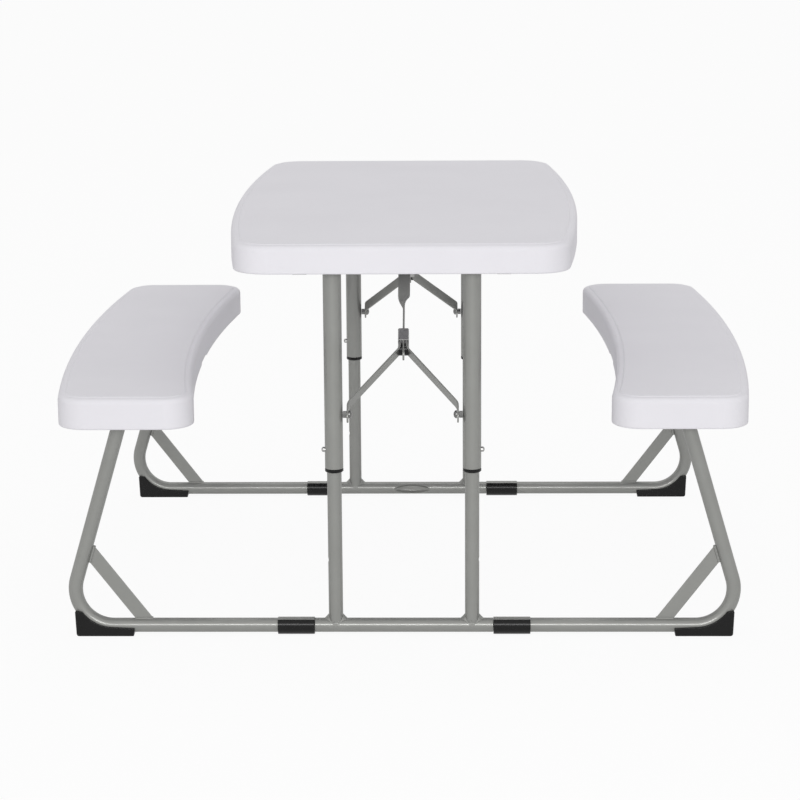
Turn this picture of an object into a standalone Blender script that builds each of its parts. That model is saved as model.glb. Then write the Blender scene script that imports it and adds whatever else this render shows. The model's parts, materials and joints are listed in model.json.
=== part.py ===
"""Children's folding picnic table: a moulded top on two folding leg sets, and two benches that plug on.

X runs from bench to bench, Y along the tabletop (the front end is at -Y) and Z up from the floor.
The origin is on the floor under the middle of the table. All sizes are in metres.
"""

import math

import bmesh
import bpy
from mathutils import Matrix, Vector

for old in list(bpy.data.objects):
    bpy.data.objects.remove(old, do_unlink=True)

# Fits between pieces
GAP = 0.0003
REACH = 0.05

# Moulded panels
TABLE_HEIGHT = 0.533
TABLE_LENGTH = 0.820
TABLE_WIDTH = 0.478
TABLE_SIDE_RADIUS = 3.1
TABLE_CORNER = 0.046
TABLE_RIM_DEPTH = 0.038
TABLE_PANEL = 0.021
BENCH_HEIGHT = 0.335
BENCH_OVERHANG = 0.003
BENCH_INNER_X = 0.295
BENCH_OUTER_X = 0.470
BENCH_INNER_RADIUS = 2.93
BENCH_OUTER_RADIUS = 3.22
BENCH_CORNER = 0.038
BENCH_RIM_DEPTH = 0.042
BENCH_PANEL = 0.023
RIM_WIDTH = 0.020
RIM_DRAFT = 0.004
EDGE_WIDTH = 0.009
EDGE_DROP = 0.007
LIP = 0.002
ARC_STEPS = 5
SIDE_STEPS = 14

# Steel tubes
TUBE_R = 0.0095
TUBE_WALL = 0.0012
LEG_R = 0.0120
LEG_WALL = 0.0012
TUBE_SIDES = 16
BORE_SIDES = 10
ROUND_SIDES = 16
HOLE_SIDES = 12

# Leg sets
LEG_X = 0.0905
LEG_INSET = 0.055
RAIL_HALF = 0.1185
SOLE = 0.0028
LEG_FOOT_DROP = 0.3050
LEG_LAP = 0.0595
PIVOT_DROP = 0.036
PIVOT_HALF = 0.150
LEG_TOP_DROP = 0.002
LEG_RETRACT = 0.150
DIMPLE_LENGTH = 0.056
DIMPLE_HEIGHT = 0.011
DIMPLE_DEPTH = 0.0009

# Collars and spring buttons
COLLAR_R = 0.0122
COLLAR_FLANGE = 0.0044
COLLAR_SLEEVE = 0.0145
BUTTON_RISE = 0.0250
BUTTON_R = 0.0035
BUTTON_PROUD = 0.0045

# Brackets under the tabletop
PLATE = 0.0020
SADDLE_X = 0.132
SADDLE_WIDTH = 0.018
SADDLE_WALL = 0.0020
LEG_PLATE_DEPTH = 0.040
STRUT_PIVOT_DROP = 0.070
STRUT_PLATE = 0.036
CHEEK = 0.0020
CHEEK_DEPTH = 0.018
CHEEK_FOOT = 0.0045

# Folding brace
BOLT_DROP = 0.233
BRACE_RUN = 0.166
KNEE_REACH = 0.106
BAR_WIDTH = 0.017
BAR_THICK = 0.0022
BAR_END = 0.0115
BAR_BEND = 0.0136
BAR_KNEE_BEND = 0.0050
BAR_TIP = 0.0115
SPACER = 0.0015
SPACER_R = 0.0080
RIVET_R = 0.0025
RIVET_HEAD_R = 0.0040
RIVET_HEAD = 0.0018
NUT_R = 0.0048
NUT_LENGTH = 0.0047
BOLT_R = 0.0030
BOLT_HEAD_R = 0.0053
BOLT_HEAD = 0.0045
STRUT_WIDTH = 0.016
STRUT_THICK = 0.0024
STRUT_TAIL = 0.0200
TWIST_START = 0.064
TWIST_LENGTH = 0.023
TWIST_STEPS = 8
BARREL_R = 0.0050
RING_LENGTH = 0.0190
RING_WALL = 0.0015

# Bench end frames
SLEEVE_R = 0.0115
SLEEVE_LENGTH = 0.049
BEND_X = 0.3865
BEND_RADIUS = 0.050
LEAN = math.radians(16.5)
BEND_STEPS = 9
BENCH_PLATE_X = 0.070
BENCH_PLATE_Y = 0.044
BENCH_PLATE = 0.0025
GUSSET_RAIL_X = 0.3390
GUSSET_TOP_Z = 0.121
GUSSET_WIDTH = 0.0185
GUSSET_THICK = 0.0030
FOOT_OUTER_X = 0.436
FOOT_INNER_X = 0.358
FOOT_WIDTH = 0.025
FOOT_TOP = 0.034
FOOT_TOE = 0.0105

# Places that follow from the sizes above
BENCH_LENGTH = TABLE_LENGTH + 2 * BENCH_OVERHANG
RAIL_Y = TABLE_LENGTH / 2 - LEG_INSET
RAIL_Z = SOLE + TUBE_R
PIVOT_Z = TABLE_HEIGHT - PIVOT_DROP
LEG_FOOT_Z = TABLE_HEIGHT - LEG_FOOT_DROP
LOWER_LEG_TOP_Z = LEG_FOOT_Z + LEG_LAP
BUTTON_Z = LEG_FOOT_Z + BUTTON_RISE
BOLT_Z = TABLE_HEIGHT - BOLT_DROP
STRUT_PIVOT_Y = RAIL_Y - BRACE_RUN
STRUT_PIVOT_Z = TABLE_HEIGHT - STRUT_PIVOT_DROP
TABLE_UNDER = TABLE_HEIGHT - TABLE_PANEL
BENCH_UNDER = BENCH_HEIGHT - BENCH_PANEL
BAR_X = LEG_X - LEG_R - GAP - NUT_LENGTH - GAP - BAR_THICK / 2
KNEE_X = STRUT_THICK / 2 + SPACER + 2 * GAP + BAR_THICK / 2
BRACE_RISE = STRUT_PIVOT_Z - BOLT_Z
BRACE_ANGLE = math.atan2(BRACE_RISE, BRACE_RUN)
STRUT_REACH = math.hypot(BRACE_RISE, BRACE_RUN) - KNEE_REACH
SIDES = (("left", -1), ("right", 1))
ENDS = (("front", -1), ("rear", 1))


def new_collection(name):
    made = bpy.data.collections.new(name)
    bpy.context.scene.collection.children.link(made)
    return made


PARTS = new_collection("kids_picnic_table")
CUTTERS = new_collection("cutters")


def material(name, colour, roughness, metallic=0.0):
    made = bpy.data.materials.new(name)
    made.use_nodes = True
    shader = made.node_tree.nodes["Principled BSDF"]
    shader.inputs["Base Color"].default_value = (*colour, 1.0)
    shader.inputs["Roughness"].default_value = roughness
    shader.inputs["Metallic"].default_value = metallic
    return made


PLASTIC_WHITE = material("white moulded plastic", (0.78, 0.78, 0.81), 0.45)
STEEL_GREY = material("grey powder coated steel", (0.27, 0.27, 0.255), 0.4, 0.2)
PLASTIC_BLACK = material("black plastic", (0.015, 0.015, 0.016), 0.5)
STEEL_BRIGHT = material("bright steel", (0.72, 0.72, 0.71), 0.25, 1.0)


def place(data, name, matrix=Matrix.Identity(4), collection=CUTTERS):
    made = bpy.data.objects.new(name, data)
    made.matrix_world = matrix
    collection.objects.link(made)
    return made


def from_bmesh(shape, name, matrix=Matrix.Identity(4)):
    bmesh.ops.recalc_face_normals(shape, faces=shape.faces)
    mesh = bpy.data.meshes.new(name)
    shape.to_mesh(mesh)
    shape.free()
    return place(mesh, name, matrix)


def finish(thing, name, surface, joint=None):
    """Make a shaped object one of the parts, carried by the empty on its joint's axis."""
    thing.name = name
    thing.data.name = name
    thing.data.materials.clear()
    thing.data.materials.append(surface)
    thing.data.shade_smooth()
    thing.data.set_sharp_from_angle(angle=math.radians(32))
    CUTTERS.objects.unlink(thing)
    PARTS.objects.link(thing)
    if joint:
        thing.parent = joint
        thing.matrix_parent_inverse = Matrix.Translation(joint.location).inverted()
    return thing


def joint_axis(name, *location):
    made = place(None, name, collection=PARTS)
    made.location = location
    return made


def boolean(target, tool, operation="DIFFERENCE"):
    tool.hide_render = True
    tool.display_type = "WIRE"
    step = target.modifiers.new(tool.name, "BOOLEAN")
    step.operation = operation
    step.solver = "EXACT"
    step.object = tool
    return target


def box(name, low, high, matrix=Matrix.Identity(4)):
    low, high = Vector(low), Vector(high)
    shape = bmesh.new()
    bmesh.ops.create_cube(shape, size=1)
    bmesh.ops.scale(shape, vec=high - low, verts=shape.verts)
    bmesh.ops.translate(shape, vec=(low + high) / 2, verts=shape.verts)
    return from_bmesh(shape, name, matrix)


def rod(name, start, end, radius, sides=ROUND_SIDES):
    """A solid cylinder from one point to another."""
    start, end = Vector(start), Vector(end)
    turn = (end - start).to_track_quat("Z", "Y").to_matrix().to_4x4()
    shape = bmesh.new()
    bmesh.ops.create_cone(
        shape, cap_ends=True, segments=sides, radius1=radius, radius2=radius, depth=(end - start).length
    )
    return from_bmesh(shape, name, Matrix.Translation((start + end) / 2) @ turn)


def as_mesh(curve_object):
    """The mesh of a curve, with its loose caps welded on."""
    evaluated = curve_object.evaluated_get(bpy.context.evaluated_depsgraph_get())
    mesh = bpy.data.meshes.new_from_object(evaluated)
    shape = bmesh.new()
    shape.from_mesh(mesh)
    bmesh.ops.remove_doubles(shape, verts=shape.verts, dist=0.00001)
    bpy.data.meshes.remove(mesh)
    name, matrix = curve_object.name, curve_object.matrix_world.copy()
    bpy.data.objects.remove(curve_object)
    return from_bmesh(shape, name, matrix)


def sweep(name, points, radius, sides=TUBE_SIDES):
    curve = bpy.data.curves.new(name, "CURVE")
    curve.dimensions = "3D"
    curve.bevel_depth = radius
    curve.bevel_resolution = (sides - 4) // 2
    curve.use_fill_caps = True
    spline = curve.splines.new("POLY")
    spline.points.add(len(points) - 1)
    for knot, point in zip(spline.points, points):
        knot.co = (*point, 1.0)
    return as_mesh(place(curve, name))


def tube(name, points, radius, wall, bore_sides=BORE_SIDES):
    """A hollow tube along a path, open at both ends."""
    points = [Vector(point) for point in points]
    before = points[0] + (points[0] - points[1]).normalized() * GAP
    after = points[-1] + (points[-1] - points[-2]).normalized() * GAP
    bore = sweep(name + "_bore", [before, *points[1:-1], after], radius - wall, bore_sides)
    return boolean(sweep(name, points, radius), bore)


def flat(name, outline, thickness, matrix=Matrix.Identity(4)):
    """A closed outline made solid, half its thickness to each side of its plane."""
    curve = bpy.data.curves.new(name, "CURVE")
    curve.dimensions = "2D"
    curve.fill_mode = "BOTH"
    curve.extrude = thickness / 2
    spline = curve.splines.new("POLY")
    spline.use_cyclic_u = True
    spline.points.add(len(outline) - 1)
    for knot, (x, y) in zip(spline.points, outline):
        knot.co = (x, y, 0.0, 1.0)
    return as_mesh(place(curve, name, matrix))


def turned(name, profile, start, towards, closed):
    """A turned shape: (radius, height) pairs run down its outer side, heights counted from start."""
    mesh = bpy.data.meshes.new(name)
    count = len(profile)
    edges = [(i, i + 1) for i in range(count - 1)] + ([(count - 1, 0)] if closed else [])
    mesh.from_pydata([(radius, 0.0, height) for radius, height in profile], edges, [])
    turn = Vector(towards).to_track_quat("Z", "Y").to_matrix().to_4x4()
    made = place(mesh, name, Matrix.Translation(start) @ turn)
    screw = made.modifiers.new("turn", "SCREW")
    screw.steps = screw.render_steps = ROUND_SIDES
    screw.use_merge_vertices = True
    screw.merge_threshold = 0.00001
    return made


def arc(centre_x, centre_y, radius, start, end, steps):
    """Points on an arc, both ends included, angles in radians."""
    angles = [start + (end - start) * i / steps for i in range(steps + 1)]
    return [(centre_x + radius * math.cos(a), centre_y + radius * math.sin(a)) for a in angles]


def table_outline(inset):
    """The barrel outline: two wide side arcs, two straight ends and four corner arcs."""
    side = TABLE_SIDE_RADIUS - inset
    corner = TABLE_CORNER - inset
    centre = TABLE_WIDTH / 2 - TABLE_SIDE_RADIUS
    corner_y = TABLE_LENGTH / 2 - TABLE_CORNER
    corner_x = centre + math.sqrt((TABLE_SIDE_RADIUS - TABLE_CORNER) ** 2 - corner_y**2)
    turn = math.atan2(corner_y, corner_x - centre)
    quarter = arc(centre, 0, side, 0, turn, SIDE_STEPS // 2)
    quarter += arc(corner_x, corner_y, corner, turn, math.pi / 2, ARC_STEPS)[1:]
    half = quarter + [(-x, y) for x, y in reversed(quarter)]
    return half + [(x, -y) for x, y in reversed(half[1:-1])]


def bench_outline(inset):
    """The curved bench outline on the +X side: a hollow inner side, a full outer side and straight ends."""
    inner = BENCH_INNER_RADIUS + inset
    outer = BENCH_OUTER_RADIUS - inset
    corner = BENCH_CORNER - inset
    inner_centre = BENCH_INNER_X - BENCH_INNER_RADIUS
    outer_centre = BENCH_OUTER_X - BENCH_OUTER_RADIUS
    corner_y = BENCH_LENGTH / 2 - BENCH_CORNER
    inner_x = inner_centre + math.sqrt((BENCH_INNER_RADIUS + BENCH_CORNER) ** 2 - corner_y**2)
    outer_x = outer_centre + math.sqrt((BENCH_OUTER_RADIUS - BENCH_CORNER) ** 2 - corner_y**2)
    inner_turn = math.atan2(corner_y, inner_x - inner_centre)
    outer_turn = math.atan2(corner_y, outer_x - outer_centre)
    half = arc(outer_centre, 0, outer, 0, outer_turn, SIDE_STEPS // 2)
    half += arc(outer_x, corner_y, corner, outer_turn, math.pi / 2, ARC_STEPS)[1:]
    half += arc(inner_x, corner_y, corner, math.pi / 2, math.pi + inner_turn, ARC_STEPS)
    half += arc(inner_centre, 0, inner, inner_turn, 0, SIDE_STEPS // 2)[1:]
    return half + [(x, -y) for x, y in reversed(half[1:-1])]


def moulded_panel(name, outline, top, rim_depth, panel):
    """A moulded panel: the outline lofted round a rounded top edge, a deep rim and a recessed underside."""
    edge = [
        (EDGE_WIDTH * (1 - math.sin(a)), top - EDGE_DROP * (1 - math.cos(a)))
        for a in (math.pi / 2 * i / 4 for i in range(5))
    ]
    bottom = top - rim_depth
    under = top - panel
    profile = edge + [
        (0, bottom + LIP),
        (LIP, bottom),
        (RIM_WIDTH - LIP, bottom),
        (RIM_WIDTH, bottom + LIP),
        (RIM_WIDTH + RIM_DRAFT, under),
    ]
    shape = bmesh.new()
    rings = [[shape.verts.new((x, y, z)) for x, y in outline(inset)] for inset, z in profile]
    for upper, lower in zip(rings, rings[1:]):
        for i, vertex in enumerate(upper):
            shape.faces.new((upper[i - 1], vertex, lower[i], lower[i - 1]))
    shape.faces.new(rings[0])
    shape.faces.new(rings[-1])
    return from_bmesh(shape, name)


def leg_bracket(end):
    """The plate under the tabletop with two saddles that hold the leg set's pivot tube."""
    y = end * RAIL_Y
    top = TABLE_UNDER - GAP
    half = LEG_PLATE_DEPTH / 2
    length = SADDLE_X + SADDLE_WIDTH / 2
    bore = TUBE_R + GAP
    plate = box("leg_bracket", (-length, y - half, top - PLATE), (length, y + half, top))
    for side_name, side in SIDES:
        low, high = sorted(side * (SADDLE_X + across * SADDLE_WIDTH / 2) for across in (-1, 1))
        wall = bore + SADDLE_WALL
        strap = rod("strap_" + side_name, (low, y, PIVOT_Z), (high, y, PIVOT_Z), wall)
        drop = box("drop_" + side_name, (low, y - wall, PIVOT_Z), (high, y + wall, top - PLATE / 2))
        boolean(boolean(plate, drop, "UNION"), strap, "UNION")
    axle = rod("saddle_bore", (-PIVOT_HALF, y, PIVOT_Z), (PIVOT_HALF, y, PIVOT_Z), bore)
    return boolean(plate, axle)


def strut_bracket(end):
    """The plate and two cheeks under the tabletop that the strut's upper end turns between."""
    y = end * STRUT_PIVOT_Y
    top = TABLE_UNDER - GAP
    half = STRUT_PLATE / 2
    inner = STRUT_WIDTH / 2 + GAP
    bracket = box("strut_bracket", (-half, y - half, top - PLATE), (half, y + half, top))
    foot = STRUT_PIVOT_Z - CHEEK_FOOT
    for side_name, side in SIDES:
        low, high = sorted((side * inner, side * (inner + CHEEK)))
        deep = CHEEK_DEPTH / 2
        cheek = box("cheek_" + side_name, (low, y - deep, foot), (high, y + deep, top - PLATE / 2))
        outside = side * (inner + CHEEK / 2)
        head_end = side * (inner + CHEEK + RIVET_HEAD)
        head = rod(
            "pin_head_" + side_name,
            (outside, y, STRUT_PIVOT_Z),
            (head_end, y, STRUT_PIVOT_Z),
            CHEEK_FOOT - GAP,
            HOLE_SIDES,
        )
        boolean(boolean(bracket, cheek, "UNION"), head, "UNION")
    return bracket


def upper_leg(side, end):
    """An outer leg tube, coped round the pivot tube, with the hole of its spring button."""
    x, y = side * LEG_X, end * RAIL_Y
    ends = [(x, y, LEG_FOOT_Z), (x, y, PIVOT_Z - LEG_TOP_DROP)]
    leg = tube("upper_leg", ends, LEG_R, LEG_WALL, TUBE_SIDES)
    cope = rod("cope", (x - LEG_R - GAP, y, PIVOT_Z), (x + LEG_R + GAP, y, PIVOT_Z), TUBE_R + GAP)
    hole = rod("button_hole", (x, y, BUTTON_Z), (x + side * REACH, y, BUTTON_Z), BUTTON_R + GAP, HOLE_SIDES)
    return boolean(boolean(leg, cope), hole)


def lower_leg(side, end):
    """A lower leg tube, coped on the base rail, with one button hole for each of its two settings."""
    x, y = side * LEG_X, end * RAIL_Y
    leg = tube("lower_leg", [(x, y, RAIL_Z), (x, y, LOWER_LEG_TOP_Z)], TUBE_R, TUBE_WALL)
    cope = rod("rail_cope", (x - REACH, y, RAIL_Z), (x + REACH, y, RAIL_Z), TUBE_R + GAP)
    boolean(leg, cope)
    for setting in (BUTTON_Z, BUTTON_Z - LEG_RETRACT):
        out = (x + side * REACH, y, setting)
        boolean(leg, rod("setting_hole", (x, y, setting), out, BUTTON_R + GAP, HOLE_SIDES))
    return leg


def base_rail(end):
    """The rail that joins the lower legs, with a long dimple pressed into the middle of its inner face."""
    y = end * RAIL_Y
    rail = tube("base_rail", [(-RAIL_HALF, y, RAIL_Z), (RAIL_HALF, y, RAIL_Z)], TUBE_R, TUBE_WALL)
    dimple = bmesh.new()
    bmesh.ops.create_uvsphere(dimple, u_segments=14, v_segments=9, radius=0.5)
    bmesh.ops.rotate(dimple, matrix=Matrix.Rotation(math.pi / 2, 3, "Y"), verts=dimple.verts)
    bmesh.ops.scale(dimple, vec=(DIMPLE_LENGTH, 2 * DIMPLE_DEPTH, DIMPLE_HEIGHT), verts=dimple.verts)
    face = Matrix.Translation((0, y - end * TUBE_R, RAIL_Z))
    boolean(rail, from_bmesh(dimple, "dimple", face))
    rail.modifiers.move(1, 0)
    return rail


def collar(side, end):
    """The plastic bush in the lower end of an outer leg tube, with a flange below it."""
    bore = TUBE_R + GAP
    plug = LEG_R - LEG_WALL - GAP
    lip = COLLAR_FLANGE / 4
    profile = [
        (plug, COLLAR_SLEEVE),
        (plug, 0),
        (COLLAR_R, 0),
        (COLLAR_R, lip - COLLAR_FLANGE),
        (COLLAR_R - lip, -COLLAR_FLANGE),
        (bore, -COLLAR_FLANGE),
        (bore, COLLAR_SLEEVE),
    ]
    seat = (side * LEG_X, end * RAIL_Y, LEG_FOOT_Z - GAP)
    return turned("collar", profile, seat, (0, 0, 1), closed=True)


def button(side, end):
    """A domed spring button, from just off the lower leg out through the outer tube."""
    inner = TUBE_R + GAP
    outer = LEG_R + BUTTON_PROUD
    dome = BUTTON_PROUD / 2
    profile = [
        (BUTTON_R * math.cos(a), outer - dome + dome * math.sin(a))
        for a in (math.pi / 2 * (1 - i / 3) for i in range(4))
    ]
    profile[0] = (0, outer)
    profile += [(BUTTON_R, inner), (0, inner)]
    return turned("button", profile, (side * LEG_X, end * RAIL_Y, BUTTON_Z), (side, 0, 0), closed=False)


def brace_bolt(side, end):
    """A dome-headed bolt with its spacer nut, standing on the inner side of an outer leg tube."""
    seat = GAP
    bar = seat + NUT_LENGTH
    head = bar + BAR_THICK + 2 * GAP
    profile = [
        (BOLT_HEAD_R * math.cos(a), head + BOLT_HEAD * math.sin(a))
        for a in (math.pi / 2 * (1 - i / 3) for i in range(4))
    ]
    profile[0] = (0, head + BOLT_HEAD)
    profile += [(BOLT_R, head), (BOLT_R, bar), (NUT_R, bar), (NUT_R, seat), (0, seat)]
    start = (side * (LEG_X - LEG_R), end * RAIL_Y, BOLT_Z)
    return turned("brace_bolt", profile, start, (-side, 0, 0), closed=False)


def brace_frame(end, reach):
    """Axes of a brace: X across, Y up along the brace, with the origin at a distance from the bolts."""
    along = Vector((0, -end * math.cos(BRACE_ANGLE), math.sin(BRACE_ANGLE)))
    across = Vector((1, 0, 0))
    turn = Matrix((across, along, across.cross(along))).transposed().to_4x4()
    start = Vector((0, end * RAIL_Y, BOLT_Z)) + along * reach
    return Matrix.Translation(start) @ turn


def brace_bar(side, end):
    """One bar of the wishbone: a flat bar bent at both ends, with a round tip above the knee rivet."""
    path = [
        (BAR_X, -BAR_END),
        (BAR_X, BAR_BEND),
        (KNEE_X, KNEE_REACH - BAR_KNEE_BEND),
        (KNEE_X, KNEE_REACH + BAR_TIP + BAR_WIDTH),
    ]
    half = BAR_WIDTH / 2
    shape = bmesh.new()
    edges = [[shape.verts.new((side * x, y, z)) for x, y in path] for z in (-half, half)]
    for i in range(len(path) - 1):
        shape.faces.new((edges[0][i], edges[0][i + 1], edges[1][i + 1], edges[1][i]))
    frame = brace_frame(end, 0)
    bar = from_bmesh(shape, "brace_bar", frame)
    bend = bar.modifiers.new("thickness", "SOLIDIFY")
    bend.thickness = BAR_THICK
    bend.offset = 0
    bend.use_even_offset = True
    low_end = arc(0, half - BAR_END, half, math.pi, 2 * math.pi, 8)
    high_end = arc(0, KNEE_REACH + BAR_TIP - half, half, 0, math.pi, 8)
    upright = frame @ Matrix.Rotation(math.pi / 2, 4, "Y")
    plan = flat("bar_plan", low_end + high_end, 2 * (LEG_X + LEG_R), upright)
    boolean(bar, plan, "INTERSECT")
    for reach, radius in ((0, BOLT_R), (KNEE_REACH, RIVET_R)):
        start = frame @ Vector((0, reach, 0))
        out = start + Vector((side * LEG_X, 0, 0))
        boolean(bar, rod("bar_hole", start, out, radius + GAP, HOLE_SIDES))
    return bar


def knee_rivet(end):
    """The rivet at the brace's knee, with a spacer disc on each side of the strut."""
    strut = STRUT_THICK / 2 + GAP
    spacer = strut + SPACER
    bar = spacer + BAR_THICK + 2 * GAP
    half = [(RIVET_R, strut), (SPACER_R, strut), (SPACER_R, spacer), (RIVET_R, spacer), (RIVET_R, bar)]
    half += [(RIVET_HEAD_R, bar), (RIVET_HEAD_R * 0.7, bar + RIVET_HEAD), (0, bar + RIVET_HEAD)]
    profile = list(reversed(half)) + [(radius, -height) for radius, height in half]
    start = brace_frame(end, KNEE_REACH).translation
    return turned("knee_rivet", profile, start, (1, 0, 0), closed=False)


def strut(end):
    """The flat strut above the knee: on edge at the knee, a quarter twist, and a barrel at its top."""
    frame = brace_frame(end, KNEE_REACH)
    shape = bmesh.new()
    bmesh.ops.create_cube(shape, size=1)
    length = STRUT_TAIL + STRUT_REACH
    bmesh.ops.scale(shape, vec=(STRUT_THICK, length, STRUT_WIDTH), verts=shape.verts)
    bmesh.ops.translate(shape, vec=(0, length / 2 - STRUT_TAIL, 0), verts=shape.verts)
    for i in range(TWIST_STEPS + 1):
        station = TWIST_START + TWIST_LENGTH * i / TWIST_STEPS
        parts = shape.verts[:] + shape.edges[:] + shape.faces[:]
        bmesh.ops.bisect_plane(shape, geom=parts, plane_co=(0, station, 0), plane_no=(0, 1, 0))
    for vertex in shape.verts:
        share = min(max((vertex.co.y - TWIST_START) / TWIST_LENGTH, 0), 1)
        turn = math.pi / 2 * share * share * (3 - 2 * share)
        vertex.co = Matrix.Rotation(turn, 3, "Y") @ vertex.co
    bar = from_bmesh(shape, "strut", frame)
    top = frame @ Vector((0, STRUT_REACH, 0))
    across = Vector((STRUT_WIDTH / 2, 0, 0))
    boolean(bar, rod("barrel", top - across, top + across, BARREL_R), "UNION")
    knee = frame.translation
    return boolean(bar, rod("rivet_hole", knee - across, knee + across, RIVET_R + GAP, HOLE_SIDES))


def lock_ring(end):
    """The band that slides on the strut and, pushed down to the rivet heads, holds the bars' tips in line."""
    frame = brace_frame(end, KNEE_REACH)
    inner_x = KNEE_X + BAR_THICK / 2 + GAP
    inner_z = BAR_WIDTH / 2 + GAP
    outer_x, outer_z = inner_x + RING_WALL, inner_z + RING_WALL
    low = RIVET_HEAD_R + GAP
    high = low + RING_LENGTH
    ring = box("lock_ring", (-outer_x, low, -outer_z), (outer_x, high, outer_z), frame)
    hole_low, hole_high = low - REACH, high + REACH
    hole = box("ring_hole", (-inner_x, hole_low, -inner_z), (inner_x, hole_high, inner_z), frame)
    boolean(ring, hole)
    soft = ring.modifiers.new("soft edges", "BEVEL")
    soft.width = RING_WALL / 4
    soft.segments = 1
    soft.limit_method = "ANGLE"
    return ring


def bench_path(side, end):
    """The centre line of a bench end frame: out along the floor, round the bend and up to the bench."""
    y = end * RAIL_Y
    top = BENCH_UNDER + TUBE_R * math.sin(LEAN)
    centre_z = RAIL_Z + BEND_RADIUS
    bend = arc(BEND_X, centre_z, BEND_RADIUS, -math.pi / 2, LEAN, BEND_STEPS)
    upright = (top - bend[-1][1]) / math.cos(LEAN)
    high = (bend[-1][0] - upright * math.sin(LEAN), top)
    points = [(RAIL_HALF + 2 * GAP, RAIL_Z), *bend, high]
    return [(side * x, y, z) for x, z in points]


def bench_tube(side, end):
    """A bench end frame's bent tube, cut level at its top, with the plate welded on."""
    path = bench_path(side, end)
    frame = tube("bench_tube", path, TUBE_R, TUBE_WALL)
    x, y, _ = path[-1]
    top = BENCH_UNDER - GAP
    half_x, half_y = BENCH_PLATE_X / 2, BENCH_PLATE_Y / 2
    low, high = (x - half_x, y - half_y), (x + half_x, y + half_y)
    boolean(frame, box("level_cut", (*low, top - BENCH_PLATE / 2), (*high, top + REACH)))
    return boolean(frame, box("bench_plate", (*low, top - BENCH_PLATE), (*high, top)), "UNION")


def gusset(side, end):
    """The flat bar that braces the bend, cut to both runs of the tube."""
    path = bench_path(side, end)
    low = Vector((side * GUSSET_RAIL_X, RAIL_Z))
    top_x, _, top_z = path[-1]
    lean = (top_z - GUSSET_TOP_Z) * math.tan(LEAN)
    high = Vector((top_x + side * lean, GUSSET_TOP_Z))
    across = (high - low).normalized().orthogonal() * GUSSET_WIDTH / 2
    outline = [low + across, low - across, high - across, high + across]
    upright = Matrix.Translation((0, end * RAIL_Y, 0)) @ Matrix.Rotation(math.pi / 2, 4, "X")
    bar = flat("gusset", [tuple(point) for point in outline], GUSSET_THICK, upright)
    return boolean(bar, sweep("gusset_cope", path, TUBE_R + GAP))


def foot(side, end):
    """The black shoe under the bend: its top follows the tube's centre line and its outer face is upright."""
    centre_z = RAIL_Z + BEND_RADIUS
    climb = math.asin((centre_z - FOOT_TOP) / BEND_RADIUS)
    saddle = arc(BEND_X, centre_z, BEND_RADIUS, -climb, -math.pi / 2, 6)
    outline = [(FOOT_INNER_X, 0), (FOOT_OUTER_X, 0), (FOOT_OUTER_X, FOOT_TOP), *saddle, (FOOT_INNER_X, FOOT_TOE)]
    upright = Matrix.Translation((0, end * RAIL_Y, 0)) @ Matrix.Rotation(math.pi / 2, 4, "X")
    shoe = flat("foot", [(side * x, z) for x, z in outline], FOOT_WIDTH, upright)
    return boolean(shoe, sweep("foot_cope", bench_path(side, end), TUBE_R + GAP))


def sleeve(side, end):
    """The black sleeve on the inner end of a bench frame, up against the base rail."""
    bore = TUBE_R + GAP
    lip = (SLEEVE_R - bore) / 2
    profile = [
        (SLEEVE_R - lip, SLEEVE_LENGTH),
        (SLEEVE_R, SLEEVE_LENGTH - lip),
        (SLEEVE_R, lip),
        (SLEEVE_R - lip, 0),
        (bore, 0),
        (bore, SLEEVE_LENGTH),
    ]
    start = (side * (RAIL_HALF + GAP), end * RAIL_Y, RAIL_Z)
    return turned("sleeve", profile, start, (side, 0, 0), closed=True)


def build_table_end(end_name, end):
    """One leg set with its brackets, brace and spring buttons."""
    y = end * RAIL_Y
    knee = brace_frame(end, KNEE_REACH).translation
    fold = joint_axis(end_name + "_fold_axis", 0, y, PIVOT_Z)
    slide = joint_axis(end_name + "_slide_axis", 0, y, RAIL_Z)
    wishbone = joint_axis(end_name + "_wishbone_axis", 0, y, BOLT_Z)
    elbow = joint_axis(end_name + "_knee_axis", *knee)
    finish(leg_bracket(end), end_name + "_leg_bracket", STEEL_GREY)
    finish(strut_bracket(end), end_name + "_strut_bracket", STEEL_GREY)
    axle = tube("pivot_tube", [(-PIVOT_HALF, y, PIVOT_Z), (PIVOT_HALF, y, PIVOT_Z)], TUBE_R, TUBE_WALL)
    finish(axle, end_name + "_pivot_tube", STEEL_GREY, fold)
    finish(base_rail(end), end_name + "_base_rail", STEEL_GREY, slide)
    finish(knee_rivet(end), end_name + "_knee_rivet", PLASTIC_BLACK, wishbone)
    finish(strut(end), end_name + "_strut", STEEL_GREY, elbow)
    finish(lock_ring(end), end_name + "_lock_ring", STEEL_BRIGHT, elbow)
    for side_name, side in SIDES:
        prefix = end_name + "_" + side_name
        press = joint_axis(prefix + "_button_axis", side * LEG_X, y, BUTTON_Z)
        finish(upper_leg(side, end), prefix + "_upper_leg", STEEL_GREY, fold)
        finish(collar(side, end), prefix + "_collar", PLASTIC_BLACK, fold)
        finish(brace_bolt(side, end), prefix + "_brace_bolt", STEEL_BRIGHT, fold)
        finish(lower_leg(side, end), prefix + "_lower_leg", STEEL_GREY, slide)
        finish(brace_bar(side, end), prefix + "_brace_bar", STEEL_GREY, wishbone)
        finish(button(side, end), prefix + "_button", STEEL_BRIGHT, press)


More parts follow.
